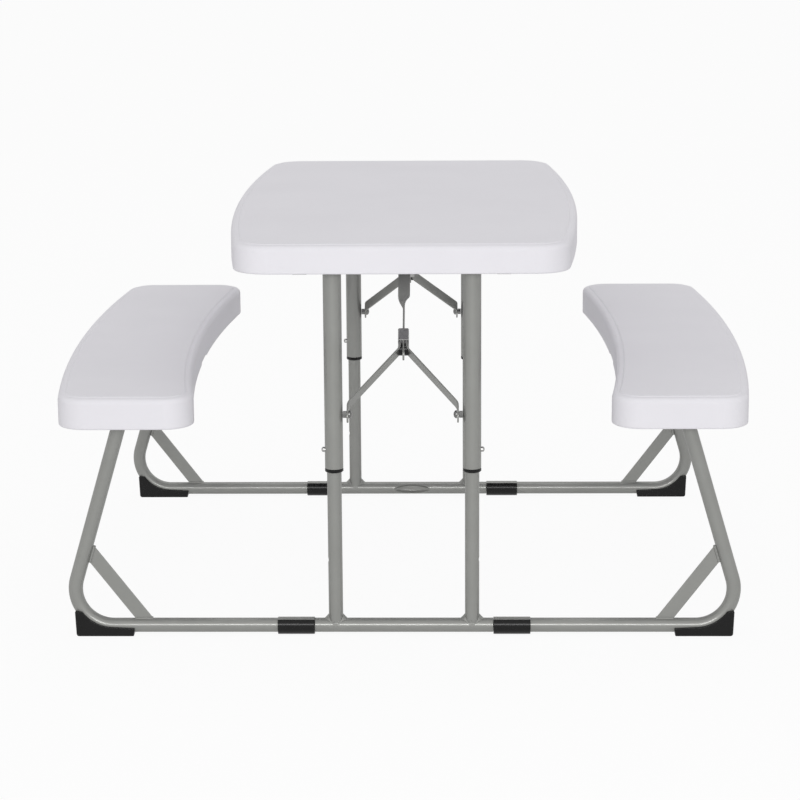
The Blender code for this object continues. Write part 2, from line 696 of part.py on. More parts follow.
def build_bench(side_name, side):
    """One bench with its two end frames."""
    pull = joint_axis(side_name + "_bench_axis", side * BENCH_INNER_X, 0, RAIL_Z)

    def outline(inset):
        return [(side * x, y) for x, y in bench_outline(inset)]

    seat = moulded_panel("bench", outline, BENCH_HEIGHT, BENCH_RIM_DEPTH, BENCH_PANEL)
    finish(seat, side_name + "_bench", PLASTIC_WHITE, pull)
    for end_name, end in ENDS:
        prefix = side_name + "_" + end_name
        finish(bench_tube(side, end), prefix + "_bench_tube", STEEL_GREY, pull)
        finish(gusset(side, end), prefix + "_gusset", STEEL_GREY, pull)
        finish(foot(side, end), prefix + "_foot", PLASTIC_BLACK, pull)
        finish(sleeve(side, end), prefix + "_sleeve", PLASTIC_BLACK, pull)


tabletop = moulded_panel("tabletop", table_outline, TABLE_HEIGHT, TABLE_RIM_DEPTH, TABLE_PANEL)
finish(tabletop, "tabletop", PLASTIC_WHITE)
for end_name, end in ENDS:
    build_table_end(end_name, end)
for side_name, side in SIDES:
    build_bench(side_name, side)
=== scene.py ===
"""Looks of a children's folding picnic table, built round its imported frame, in metres with Z up."""

import json
import math

import bmesh
import bpy
from mathutils import Matrix, Vector

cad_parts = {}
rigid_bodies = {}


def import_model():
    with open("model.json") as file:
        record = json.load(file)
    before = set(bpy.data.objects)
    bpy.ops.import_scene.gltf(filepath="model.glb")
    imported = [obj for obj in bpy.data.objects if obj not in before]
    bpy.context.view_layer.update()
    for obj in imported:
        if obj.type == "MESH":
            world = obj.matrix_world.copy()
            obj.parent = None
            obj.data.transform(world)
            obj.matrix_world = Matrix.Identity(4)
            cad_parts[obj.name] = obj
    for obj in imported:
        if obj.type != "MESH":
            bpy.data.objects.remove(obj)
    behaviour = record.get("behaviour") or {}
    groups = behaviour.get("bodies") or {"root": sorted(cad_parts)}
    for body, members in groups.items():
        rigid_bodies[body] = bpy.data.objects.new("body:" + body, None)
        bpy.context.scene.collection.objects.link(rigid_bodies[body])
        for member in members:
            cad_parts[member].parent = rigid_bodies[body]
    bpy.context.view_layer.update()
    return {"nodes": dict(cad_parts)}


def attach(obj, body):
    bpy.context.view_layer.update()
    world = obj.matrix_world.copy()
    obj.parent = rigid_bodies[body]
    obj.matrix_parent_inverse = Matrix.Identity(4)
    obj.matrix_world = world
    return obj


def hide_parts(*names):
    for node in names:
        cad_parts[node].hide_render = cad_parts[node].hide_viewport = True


for old in list(bpy.data.objects):
    bpy.data.objects.remove(old)
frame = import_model()
ENDS = (("front", -1), ("rear", 1))
SIDES = (("left", -1), ("right", 1))


# Tabletop: one blow-moulded panel of white high-density polyethylene with a barrel outline. A fine
# grain from the mould covers it, the top stands a low step above its rounded edge, and rows of round
# dimples tie the underside to the top. It lies on the brackets of the two leg sets.
class Wire:
    """A socket in a finish: arithmetic on it adds Math nodes, and node() adds any other node."""

    def __init__(self, tree, socket):
        self.tree = tree
        self.socket = socket

    def node(self, kind, settings, sockets, output=0):
        made = self.tree.nodes.new("ShaderNode" + kind)
        for name, value in settings.items():
            if name == "stops":
                for element, (position, grey) in zip(made.color_ramp.elements, value):
                    element.position = position
                    element.color = (grey, grey, grey, 1)
            else:
                setattr(made, name, value)
        for key, value in sockets.items():
            if isinstance(value, Wire):
                self.tree.links.new(value.socket, made.inputs[key])
            else:
                made.inputs[key].default_value = value
        return Wire(self.tree, made.outputs[output])

    def math(self, operation, first, second):
        return self.node("Math", {"operation": operation}, {0: first, 1: second})

    def __add__(self, other):
        return self.math("ADD", self, other)

    def __sub__(self, other):
        return self.math("SUBTRACT", self, other)

    def __rsub__(self, other):
        return self.math("SUBTRACT", other, self)

    def __mul__(self, other):
        return self.math("MULTIPLY", self, other)

    __radd__ = __add__
    __rmul__ = __mul__


def finish_start(name, **constants):
    """A new finish: its material, its shader and the place on the object, in metres."""
    made = bpy.data.materials.new(name)
    made.use_nodes = True
    shader = made.node_tree.nodes["Principled BSDF"]
    for socket, value in constants.items():
        shader.inputs[socket.replace("_", " ")].default_value = value
    coordinates = made.node_tree.nodes.new("ShaderNodeTexCoord").outputs["Object"]
    return made, shader, Wire(made.node_tree, coordinates)


def feed(shader, socket, wire):
    wire.tree.links.new(wire.socket, shader.inputs[socket])


def speckle(place, scale, detail=2.0, rough=0.5):
    """Cloudy noise about 1 / scale metres across."""
    sockets = {"Vector": place, "Scale": scale, "Detail": detail, "Roughness": rough}
    return place.node("TexNoise", {}, sockets)


def between(place, share, low, high):
    """A colour part way from low to high."""
    colours = {0: share, 6: (*low, 1), 7: (*high, 1)}
    return place.node("Mix", {"data_type": "RGBA"}, colours, 2)


def grain(place, height, depth, strength):
    """Raised grain of a depth in metres."""
    return place.node("Bump", {}, {"Strength": strength, "Distance": depth, "Height": height})


def hairlines(place, along, across, amount):
    """Sparse fine scratches: noise stretched along Y, with only its crests kept."""
    stretched = place.node("VectorMath", {"operation": "MULTIPLY"}, {0: place, 1: (across, along, along)})
    crest = place.node("ValToRGB", {"stops": ((0.66, 0), (0.74, 1))}, {0: speckle(stretched, 1.0, 4.0)})
    return crest * amount


white_plastic, shader, place = finish_start("moulded white plastic", IOR=1.5, Specular_IOR_Level=0.10)
clouds = speckle(place, 8.0, 3.0)
pores = speckle(place, 1500.0, 3.0, 0.6)
WHITE_LOW, WHITE_HIGH = (0.785, 0.772, 0.812), (0.845, 0.833, 0.872)
feed(shader, "Base Color", between(place, clouds * 0.7 + pores * 0.3, WHITE_LOW, WHITE_HIGH))
feed(shader, "Roughness", 0.50 + speckle(place, 90.0) * 0.16 + hairlines(place, 9.0, 420.0, 0.10))
pebbles = place.node("TexVoronoi", {"feature": "SMOOTH_F1"}, {"Vector": place, "Scale": 820.0}, "Distance")
feed(shader, "Normal", grain(place, pebbles * 0.7 + pores * 0.5, 0.00012, 0.35))


def piece(name, shape, finish, slot, body, *nodes, crease=32):
    """Make a shaped mesh a piece that rides on a body and stands for the named solids."""
    bmesh.ops.recalc_face_normals(shape, faces=shape.faces)
    mesh = bpy.data.meshes.new(name)
    shape.to_mesh(mesh)
    shape.free()
    mesh.materials.append(finish)
    mesh.shade_smooth()
    mesh.set_sharp_from_angle(angle=math.radians(crease))
    made = bpy.data.objects.new(name, mesh)
    made.modifiers.new("flat faces", "WEIGHTED_NORMAL").keep_sharp = True
    bpy.context.scene.collection.objects.link(made)
    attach(made, body)
    if nodes:
        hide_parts(*nodes)
    return made


def arc(centre_x, centre_y, radius, start, end, steps):
    angles = [start + (end - start) * i / steps for i in range(steps + 1)]
    return [(centre_x + radius * math.cos(a), centre_y + radius * math.sin(a)) for a in angles]


def join_rings(shape, rings, closed=False):
    """Quads between rings of equal count, in order."""
    pairs = list(zip(rings, rings[1:])) + ([(rings[-1], rings[0])] if closed else [])
    for near, far in pairs:
        for i, vertex in enumerate(near):
            shape.faces.new((near[i - 1], vertex, far[i], far[i - 1]))


EDGE_WIDTH, EDGE_DROP, LEDGE_FALL = 0.0062, 0.0072, 0.0002
STEP_INSET, STEP_RUN, STEP_DROP = 0.0092, 0.0022, 0.0014
RIM_WIDTH, RIM_DRAFT, RIM_FILLET, LIP = 0.020, 0.004, 0.002, 0.0025
DIMPLE_MOUTH, DIMPLE_SEAT, DIMPLE_DEPTH, DIMPLE_SIDES = 0.0150, 0.0085, 0.0105, 20
DIMPLE_EASE, DIMPLE_EASE_RISE = 0.0012, 0.0008


def moulding(outline, top, rim_depth, panel, dimples, lift=lambda x, y: 0.0):
    """A moulded panel: a raised top, a ledge with a rounded edge, a deep rim, and a dimpled underside."""
    bottom, under = top - rim_depth, top - panel
    ledge = top - STEP_DROP
    step = [
        (STEP_INSET + STEP_RUN * 1.6, top),
        (STEP_INSET + STEP_RUN, top - STEP_DROP * 0.08),
        (STEP_INSET + STEP_RUN * 0.7, top - STEP_DROP * 0.3),
        (STEP_INSET + STEP_RUN * 0.3, ledge + STEP_DROP * 0.2),
        (STEP_INSET, ledge),
    ]
    turns = [math.pi / 2 * i / 8 for i in range(9)]
    shoulder = [
        (EDGE_WIDTH * (1 - math.sin(a)), ledge - LEDGE_FALL - EDGE_DROP * (1 - math.cos(a)))
        for a in turns
    ]
    outer_lip = [(LIP * (1 - math.cos(a)), bottom + LIP * (1 - math.sin(a))) for a in turns[::2]]
    inner_lip = [(RIM_WIDTH - LIP * (1 - math.sin(a)), bottom + LIP * (1 - math.cos(a))) for a in turns[::2]]
    fillet = [(RIM_WIDTH + RIM_DRAFT * 0.6, under - RIM_FILLET), (RIM_WIDTH + RIM_DRAFT, under)]
    shape = bmesh.new()
    rings = []
    for inset, z in step + shoulder + outer_lip + inner_lip + fillet:
        low = z < bottom + 2 * LIP
        rings.append([shape.verts.new((x, y, z + (lift(x, y) if low else 0))) for x, y in outline(inset)])
    join_rings(shape, rings)
    shape.faces.new(rings[0])
    mouths = []
    eased_mouth = (DIMPLE_MOUTH - DIMPLE_EASE, DIMPLE_EASE_RISE)
    for x, y in dimples:
        cup = []
        for radius, rise in ((DIMPLE_MOUTH, 0), eased_mouth, (DIMPLE_SEAT, DIMPLE_DEPTH)):
            circle = arc(x, y, radius, 0, 2 * math.pi, DIMPLE_SIDES)[1:]
            cup.append([shape.verts.new((px, py, under + rise)) for px, py in circle])
        join_rings(shape, cup)
        shape.faces.new(cup[-1])
        mouths.append(cup[0])
    loops = [rings[-1], *mouths]
    edges = [shape.edges.get((loop[i - 1], loop[i])) for loop in loops for i in range(len(loop))]
    bmesh.ops.triangle_fill(shape, use_beauty=True, edges=edges, normal=(0, 0, -1))
    return shape


TABLE_HEIGHT, TABLE_RIM, TABLE_PANEL = 0.533, 0.038, 0.021
HALF_LENGTH, HALF_WIDTH, SIDE_RADIUS, CORNER = 0.410, 0.239, 3.1, 0.046
LEG_Y, STRUT_Y = 0.355, 0.189
PITCH_X, PITCH_Y, STAGGER, BRACKET_ROOM = 0.074, 0.073, 0.25, 0.045


def table_outline(inset):
    """The barrel outline, drawn in from the edge by an inset."""
    centre = HALF_WIDTH - SIDE_RADIUS
    corner_y = HALF_LENGTH - CORNER
    corner_x = centre + math.sqrt((SIDE_RADIUS - CORNER) ** 2 - corner_y**2)
    turn = math.atan2(corner_y, corner_x - centre)
    quarter = arc(centre, 0, SIDE_RADIUS - inset, 0, turn, 26)
    quarter += arc(corner_x, corner_y, CORNER - inset, turn, math.pi / 2, 12)[1:]
    half = quarter + [(-x, y) for x, y in reversed(quarter)]
    return half + [(x, -y) for x, y in reversed(half[1:-1])]


table_dimples = []
for row in range(-4, 5):
    for column in range(-2, 3):
        x, y = (column + STAGGER * (-1) ** row) * PITCH_X, row * PITCH_Y
        if math.hypot(x, abs(y) - STRUT_Y) > BRACKET_ROOM:
            table_dimples.append((x, y))
tabletop = moulding(table_outline, TABLE_HEIGHT, TABLE_RIM, TABLE_PANEL, table_dimples)
piece("tabletop_moulding", tabletop, white_plastic, "white_plastic", "tabletop", "tabletop")


# Benches: two blow-moulded panels of the same plastic, curved to follow the table's sides. The inner
# rim has a shallow notch in its lower edge at mid length, and the underside has two rows of dimples.
# Each bench is screwed to the plates of its two end frames.
BENCH_HEIGHT, BENCH_RIM, BENCH_PANEL = 0.335, 0.042, 0.023
BENCH_HALF, BENCH_INNER, BENCH_OUTER = 0.413, 0.295, 0.470
INNER_RADIUS, OUTER_RADIUS, BENCH_CORNER = 2.93, 3.22, 0.038
NOTCH_LOW, NOTCH_HIGH, NOTCH_RISE, NOTCH_EDGE = -0.020, 0.056, 0.0030, 0.001
LANE_HALF, ROW_PITCH, ROW_STAGGER = 0.034, 0.062, 0.0155


def bench_outline(inset):
    """The curved outline of the right bench, drawn in from the edge by an inset."""
    inner_centre, outer_centre = BENCH_INNER - INNER_RADIUS, BENCH_OUTER - OUTER_RADIUS
    corner_y = BENCH_HALF - BENCH_CORNER
    inner_x = inner_centre + math.sqrt((INNER_RADIUS + BENCH_CORNER) ** 2 - corner_y**2)
    outer_x = outer_centre + math.sqrt((OUTER_RADIUS - BENCH_CORNER) ** 2 - corner_y**2)
    inner_turn = math.atan2(corner_y, inner_x - inner_centre)
    outer_turn = math.atan2(corner_y, outer_x - outer_centre)
    points = arc(outer_centre, 0, OUTER_RADIUS - inset, -outer_turn, outer_turn, 48)
    points += arc(outer_x, corner_y, BENCH_CORNER - inset, outer_turn, math.pi / 2, 10)[1:]
    points += arc(inner_x, corner_y, BENCH_CORNER - inset, math.pi / 2, math.pi + inner_turn, 10)
    steps = [inner_turn * (1 - 2 * i / 48) for i in range(1, 48)]
    for y in (NOTCH_LOW - NOTCH_EDGE, NOTCH_LOW, NOTCH_HIGH, NOTCH_HIGH + NOTCH_EDGE):
        steps.append(y / INNER_RADIUS)
    radius = INNER_RADIUS + inset
    steps.sort(reverse=True)
    points += [(inner_centre + radius * math.cos(a), radius * math.sin(a)) for a in steps]
    points += arc(inner_x, -corner_y, BENCH_CORNER - inset, math.pi - inner_turn, 1.5 * math.pi, 10)
    points += arc(outer_x, -corner_y, BENCH_CORNER - inset, 1.5 * math.pi, 2 * math.pi - outer_turn, 10)[:-1]
    return points


def bench_notch(x, y):
    """How far the notch lifts the lower edge of the inner rim."""
    across = math.hypot(abs(x) - BENCH_INNER + INNER_RADIUS, y) - INNER_RADIUS
    inside = NOTCH_LOW - 1e-5 < y < NOTCH_HIGH + 1e-5 and across < RIM_WIDTH + NOTCH_EDGE
    return NOTCH_RISE if inside else 0.0


for side_name, side in SIDES:
    middle = (BENCH_INNER + BENCH_OUTER) / 2
    bench_dimples = [
        (side * (middle + lane * LANE_HALF - y * y / (INNER_RADIUS + OUTER_RADIUS)), y)
        for lane in (-1, 1)
        for y in (row * ROW_PITCH + lane * ROW_STAGGER for row in range(-4, 5))
    ]
    seat = moulding(
        lambda inset: [(side * x, y) for x, y in bench_outline(inset)],
        BENCH_HEIGHT, BENCH_RIM, BENCH_PANEL, bench_dimples, bench_notch,
    )
    name = side_name + "_bench"
    piece(name + "_moulding", seat, white_plastic, "white_plastic", side_name + "_bench_unit", name)


# Leg sets: round steel tube, cut, coped, welded and powder coated in a warm grey. An outer leg hangs
# from a pivot tube under the top, and a lower leg slides in it. The lower legs are welded, with a few
# specks of spatter, to a base rail with an oval dent pressed into the middle of its inner face.
coat = {"Coat_Weight": 0.3, "Coat_Roughness": 0.10, "Coat_IOR": 1.7}
grey_steel, shader, place = finish_start("grey powder coat", Metallic=0.35, Specular_IOR_Level=0.0, **coat)
flecks = speckle(place, 2600.0, 2.0, 0.7)
smears = speckle(place, 22.0, 3.0)
GREY_LOW, GREY_HIGH = (0.230, 0.232, 0.220), (0.348, 0.351, 0.334)
feed(shader, "Base Color", between(place, flecks * 0.55 + smears * 0.45, GREY_LOW, GREY_HIGH))
feed(shader, "Roughness", 0.26 + smears * 0.12 + flecks * 0.08)
peel = place.node("TexVoronoi", {"feature": "SMOOTH_F1"}, {"Vector": place, "Scale": 1100.0}, "Distance")
feed(shader, "Normal", grain(place, peel * 0.8 + flecks * 0.3, 0.00009, 0.30))

GAP, COPE_GAP, CUT_REACH = 0.0003, 0.0002, 0.03
TUBE_R, TUBE_WALL, LEG_R, LEG_WALL = 0.0095, 0.0012, 0.0120, 0.0012
LEG_X, RAIL_Z, RAIL_HALF = 0.0905, 0.0123, 0.1185
PIVOT_Z, PIVOT_HALF = 0.497, 0.150
LEG_FOOT_Z, LEG_TOP_Z, LOWER_LEG_TOP_Z = 0.228, 0.495, 0.2875
BUTTON_Z, BUTTON_R, LEG_RETRACT = 0.253, 0.0035, 0.150
DENT_HALF, DENT_RISE, DENT_DEPTH = 0.028, 0.0066, 0.0072
FILLET_FLOOR = 0.0042
WELD_SINK, WELD_STAND, WELD_ROOT, WELD_BED = 0.0004, 0.0002, 0.0012, 0.0003
PIVOT_WELD_SIDE, PIVOT_WELD_FACE = 0.0020, 0.0004
RAIL_WELD_SIDE, RAIL_WELD_FACE = 0.0054, 0.0009
SPATTER = ((-0.45, 0.0075, 0.0006), (-0.1, 0.0086, 0.0008), (0.15, 0.0068, 0.0005), (0.5, 0.0090, 0.0006))


def rings_along(shape, points, radii, sides):
    """Rings of vertices square to a path, kept from twisting along it."""
    points = [Vector(point) for point in points]
    rings, across = [], None
    for i, point in enumerate(points):
        ahead = points[min(i + 1, len(points) - 1)] - point
        behind = point - points[max(i - 1, 0)]
        along = (ahead.normalized() + behind.normalized()).normalized()
        across = (along.orthogonal() if across is None else across - along * across.dot(along)).normalized()
        other = along.cross(across)
        ring = []
        for k in range(sides):
            turn = 2 * math.pi * k / sides
            outward = across * math.cos(turn) + other * math.sin(turn)
            ring.append(shape.verts.new(point + outward * radii[i]))
        rings.append(ring)
    return rings


def tube(points, radius, wall, sides=36):
    """A hollow tube along a path, with the outer edges of its ends broken by a small chamfer."""
    points = [Vector(point) for point in points]
    chamfer = wall * 0.3
    start = points[0] + (points[1] - points[0]).normalized() * chamfer
    end = points[-1] + (points[-2] - points[-1]).normalized() * chamfer
    skin = [points[0], start, *points[1:-1], end, points[-1]]
    radii = [radius - chamfer, *[radius] * (len(skin) - 2), radius - chamfer]
    shape = bmesh.new()
    outside = rings_along(shape, skin, radii, sides)
    inside = rings_along(shape, points, [radius - wall] * len(points), sides)
    join_rings(shape, [*outside, *reversed(inside)], closed=True)
    return shape


def solid_rod(points, radius, sides=12, ripple=0.0):
    """A solid round bar along a path; a ripple swells it in waves, as in a bead of weld."""
    shape = bmesh.new()
    radii = [radius * (1 + ripple * math.sin(2.1 * i)) for i in range(len(points))]
    rings = rings_along(shape, points, radii, sides)
    join_rings(shape, rings)
    shape.faces.new(rings[0])
    shape.faces.new(rings[-1])
    return shape


def cut(shape, *cutters):
    """A shape with others taken out of it."""
    made = []
    for source in (shape, *cutters):
        bmesh.ops.recalc_face_normals(source, faces=source.faces)
        mesh = bpy.data.meshes.new("blank")
        source.to_mesh(mesh)
        source.free()
        made.append(bpy.data.objects.new("blank", mesh))
        bpy.context.scene.collection.objects.link(made[-1])
    for tool in made[1:]:
        step = made[0].modifiers.new("cut", "BOOLEAN")
        step.operation, step.solver, step.object = "DIFFERENCE", "EXACT", tool
    result = bmesh.new()
    result.from_object(made[0], bpy.context.evaluated_depsgraph_get())
    for blank in made:
        bpy.data.objects.remove(blank)
    return result


def merged(shapes):
    """Several closed shapes as one mesh."""
    whole = bmesh.new()
    for shape in shapes:
        mesh = bpy.data.meshes.new("blank")
        shape.to_mesh(mesh)
        shape.free()
        whole.from_mesh(mesh)
        bpy.data.meshes.remove(mesh)
    return whole


def saddle_weld(x, y, z, leg_radius, upward, side_size, face_size):
    """A weld fillet where an upright tube meets a level one: wide along the level tube, thin across it."""
    shape = bmesh.new()
    rings = [[], [], [], []]
    for i in range(72):
        a = 2 * math.pi * i / 72
        dx, dy = math.cos(a), math.sin(a)
        size = face_size + (side_size - face_size) * dx**6
        size *= 1 + 0.10 * math.sin(9 * a) + 0.06 * math.sin(23 * a)
        foot = math.sqrt(max(TUBE_R**2 - (leg_radius * dy) ** 2, 0))
        foot = max(foot, FILLET_FLOOR)
        spread = leg_radius + size
        level = math.sqrt(max(TUBE_R**2 - (min(leg_radius + size * abs(dy), TUBE_R) * dy) ** 2, 0))
        for ring, reach, rise in zip(
            rings,
            (leg_radius - WELD_SINK, leg_radius + WELD_STAND, leg_radius + size * 0.50, spread),
            (foot - WELD_ROOT, foot + size, foot + size * 0.46, min(level, foot) - WELD_BED),
        ):
            ring.append(shape.verts.new((x + reach * dx, y + reach * dy, z + upward * rise)))
    join_rings(shape, rings, closed=True)
    return shape


for end_name, end in ENDS:
    y = end * LEG_Y
    upper, lower = end_name + "_leg_set", end_name + "_lower_legs"
    axle = tube([(-PIVOT_HALF, y, PIVOT_Z), (PIVOT_HALF, y, PIVOT_Z)], TUBE_R, TUBE_WALL)
    piece(end_name + "_pivot_axle", axle, grey_steel, "grey_steel", upper, end_name + "_pivot_tube")
    stops = [-RAIL_HALF, *(DENT_HALF * i / 20 for i in range(-20, 21)), RAIL_HALF]
    rail = tube([(x, y, RAIL_Z) for x in stops], TUBE_R, TUBE_WALL, 96)
    for vertex in rail.verts:
        inward, rise = -end * (vertex.co.y - y), vertex.co.z - RAIL_Z
        share = 1 - ((vertex.co.x / DENT_HALF) ** 2 + (rise / DENT_RISE) ** 2) ** 2
        thick = TUBE_WALL if math.hypot(inward, rise) < TUBE_R - TUBE_WALL / 2 else 0
        limit = math.sqrt(TUBE_R**2 - min(rise**2, DENT_RISE**2)) - thick - DENT_DEPTH * share
        if share > 0 and inward > limit:
            vertex.co.y = y - end * limit
    piece(end_name + "_rail_tube", rail, grey_steel, "grey_steel", lower, end_name + "_base_rail", crease=16)
    pivot_welds, rail_welds = [], []
    for side_name, side in SIDES:
        x = side * LEG_X
        prefix = end_name + "_" + side_name
        holes = [
            solid_rod([(x, y, z), (x + side * CUT_REACH, y, z)], BUTTON_R + GAP, 24)
            for z in (BUTTON_Z, BUTTON_Z, BUTTON_Z - LEG_RETRACT)
        ]
        copes = [
            solid_rod([(x - CUT_REACH, y, z), (x + CUT_REACH, y, z)], TUBE_R + COPE_GAP, 36)
            for z in (PIVOT_Z, RAIL_Z)
        ]
        outer = cut(tube([(x, y, LEG_FOOT_Z), (x, y, LEG_TOP_Z)], LEG_R, LEG_WALL), copes[0], holes[0])
        piece(prefix + "_outer_leg", outer, grey_steel, "grey_steel", upper, prefix + "_upper_leg")
        foot_z = RAIL_Z + FILLET_FLOOR
        inner = cut(tube([(x, y, foot_z), (x, y, LOWER_LEG_TOP_Z)], TUBE_R, TUBE_WALL), copes[1], *holes[1:])
        piece(prefix + "_inner_leg", inner, grey_steel, "grey_steel", lower, prefix + "_lower_leg")
        pivot_welds.append(saddle_weld(x, y, PIVOT_Z, LEG_R, -1, PIVOT_WELD_SIDE, PIVOT_WELD_FACE))
        rail_welds.append(saddle_weld(x, y, RAIL_Z, TUBE_R, 1, RAIL_WELD_SIDE, RAIL_WELD_FACE))
        for turn, rise, size in SPATTER:
            speck = bmesh.new()
            bmesh.ops.create_icosphere(speck, subdivisions=2, radius=size)
            spot = (x + side * TUBE_R * math.sin(turn), y + end * TUBE_R * math.cos(turn), RAIL_Z + rise)
            bmesh.ops.translate(speck, vec=spot, verts=speck.verts)
            rail_welds.append(speck)
    piece(end_name + "_pivot_welds", merged(pivot_welds), grey_steel, "grey_steel", upper)
    piece(end_name + "_rail_welds", merged(rail_welds), grey_steel, "grey_steel", lower)


# Collars, sleeves and end plugs: black injection-moulded polypropylene. A collar is pressed into the
# foot of each outer leg, and a plug closes each end of the pivot tubes. A sleeve is a clip, open along
# the top, on the flared socket that couples a bench frame to its base rail.
black_plastic, shader, place = finish_start("black plastic", Specular_IOR_Level=0.22)
dust = speckle(place, 140.0, 4.0, 0.65)
feed(shader, "Base Color", between(place, dust, (0.0028, 0.0028, 0.0030), (0.0100, 0.0099, 0.0097)))
feed(shader, "Roughness", 0.18 + dust * 0.12)
feed(shader, "Normal", grain(place, speckle(place, 1900.0, 2.0), 0.00007, 0.12))
COLLAR_R, COLLAR_FLANGE, COLLAR_SLEEVE = 0.0122, 0.0044, 0.0145
SOCKET_R, SLEEVE_R, SLEEVE_LENGTH = 0.0108, 0.0123, 0.049
SLEEVE_EDGE, SLEEVE_BORE = 0.0006, SOCKET_R + 0.0001
SLEEVE_START, SLEEVE_SWEEP, SLEEVE_STEPS = 129, 271, 52
SLEEVE_SECTION = [(0, SLEEVE_BORE), (0, SLEEVE_R - SLEEVE_EDGE), (SLEEVE_EDGE, SLEEVE_R)]
SLEEVE_SECTION += [(SLEEVE_LENGTH - along, radius) for along, radius in reversed(SLEEVE_SECTION)]
PLUG_DEPTH, PLUG_FIT = 0.0110, 0.0001
PLUG_CROWN = [(0, 0.0012), (TUBE_R - 0.0022, 0.0011), (TUBE_R - 0.0008, 0.0006), (TUBE_R - 0.0005, 0)]


def turned(profile, start, towards, steps=44, closed=False):
    """A turned shape: (radius, height) pairs down its side, heights counted from start."""
    shape = bmesh.new()
    turn = Vector(towards).to_track_quat("Z", "Y").to_matrix().to_4x4()
    matrix = Matrix.Translation(start) @ turn
    rings = []
    for radius, height in profile:
        circle = arc(0, 0, radius, 0, 2 * math.pi, steps)[1:] if radius else [(0, 0)]
        rings.append([shape.verts.new(matrix @ Vector((x, y, height))) for x, y in circle])
    pairs = list(zip(rings, rings[1:])) + ([(rings[-1], rings[0])] if closed else [])
    for near, far in pairs:
        for i in range(steps):
            corners = [near[(i - 1) % len(near)], near[i % len(near)]]
            corners += [far[i % len(far)], far[(i - 1) % len(far)]]
            shape.faces.new(list(dict.fromkeys(corners)))
    return shape


for end_name, end in ENDS:
    y = end * LEG_Y
    plugs = []
    for side_name, side in SIDES:
        bore, lip = TUBE_R + GAP, COLLAR_FLANGE / 4
        press = LEG_R - LEG_WALL - GAP
        profile = [(press, COLLAR_SLEEVE), (press, 0), (COLLAR_R - lip / 2, 0), (COLLAR_R, -lip / 2)]
        profile += [(COLLAR_R, lip - COLLAR_FLANGE), (COLLAR_R - lip, -COLLAR_FLANGE)]
        profile += [(bore, -COLLAR_FLANGE), (bore, COLLAR_SLEEVE)]
        collar = turned(profile, (side * LEG_X, y, LEG_FOOT_Z - GAP), (0, 0, 1), closed=True)
        name = end_name + "_" + side_name + "_collar"
        piece(name + "_bush", collar, black_plastic, "black_plastic", end_name + "_leg_set", name)
        sleeve, rings = bmesh.new(), []
        for i in range(SLEEVE_STEPS + 1):
            turn = math.radians(SLEEVE_START + SLEEVE_SWEEP * i / SLEEVE_STEPS)
            across, rise = math.cos(turn), math.sin(turn)
            rings.append([])
            for along, radius in SLEEVE_SECTION:
                x = side * (RAIL_HALF + GAP + along)
                rings[-1].append(sleeve.verts.new((x, y + radius * across, RAIL_Z + radius * rise)))
        join_rings(sleeve, rings)
        sleeve.faces.new(rings[0])
        sleeve.faces.new(rings[-1])
        name = side_name + "_" + end_name + "_sleeve"
        piece(name + "_coupling", sleeve, black_plastic, "black_plastic", side_name + "_bench_unit", name)
        seat = TUBE_R - TUBE_WALL - PLUG_FIT
        profile = PLUG_CROWN + [(seat, -PLUG_FIT), (seat, -PLUG_DEPTH), (0, -PLUG_DEPTH)]
        plugs.append(turned(profile, (side * PIVOT_HALF, y, PIVOT_Z), (side, 0, 0)))
    piece(end_name + "_pivot_plugs", merged(plugs), black_plastic, "black_plastic", end_name + "_leg_set")


# Spring buttons and brace bolts: zinc-plated steel, bright on the buttons; the bolts wear a copy whose
# darker colour is painted shade. A button stands out of each outer leg; a dome bolt with a hex spacer nut
# holds each bar of the brace.
bright_steel, shader, place = finish_start("zinc-plated steel", Metallic=1.0)
cloud = speckle(place, 260.0, 3.0)
feed(shader, "Base Color", between(place, cloud, (0.33, 0.33, 0.325), (0.46, 0.46, 0.45)))
feed(shader, "Roughness", 0.16 + cloud * 0.16)
feed(shader, "Normal", grain(place, speckle(place, 2400.0), 0.00003, 0.20))
# The bolts' copy of the zinc: its darker base colour is painted shade, and its higher roughness a duller
# finish.
shaded_zinc_steel, shader, place = finish_start("zinc with painted shade", Metallic=1.0)
cloud = speckle(place, 420.0, 3.0)
feed(shader, "Base Color", between(place, cloud, (0.10, 0.10, 0.098), (0.30, 0.30, 0.293)))
feed(shader, "Roughness", 0.20 + cloud * 0.20)
BUTTON_PROUD, BUTTON_DOME = 0.0045, 0.55
BOLT_Z, BOLT_R, BOLT_HEAD_R, BOLT_HEAD, BOLT_RIM = 0.300, 0.0030, 0.0053, 0.0045, 0.0009
NUT_R, NUT_LENGTH, NUT_LAP = 0.0048, 0.0047, 0.001
BAR_THICK = 0.0022


def dome(radius, base, height, steps=9):
    """A rounded head from its crown down to its rim, as (radius, height) pairs."""
    turns = [math.pi / 2 * (1 - i / steps) for i in range(1, steps + 1)]
    return [(0, base + height), *((radius * math.cos(a), base + height * math.sin(a)) for a in turns)]


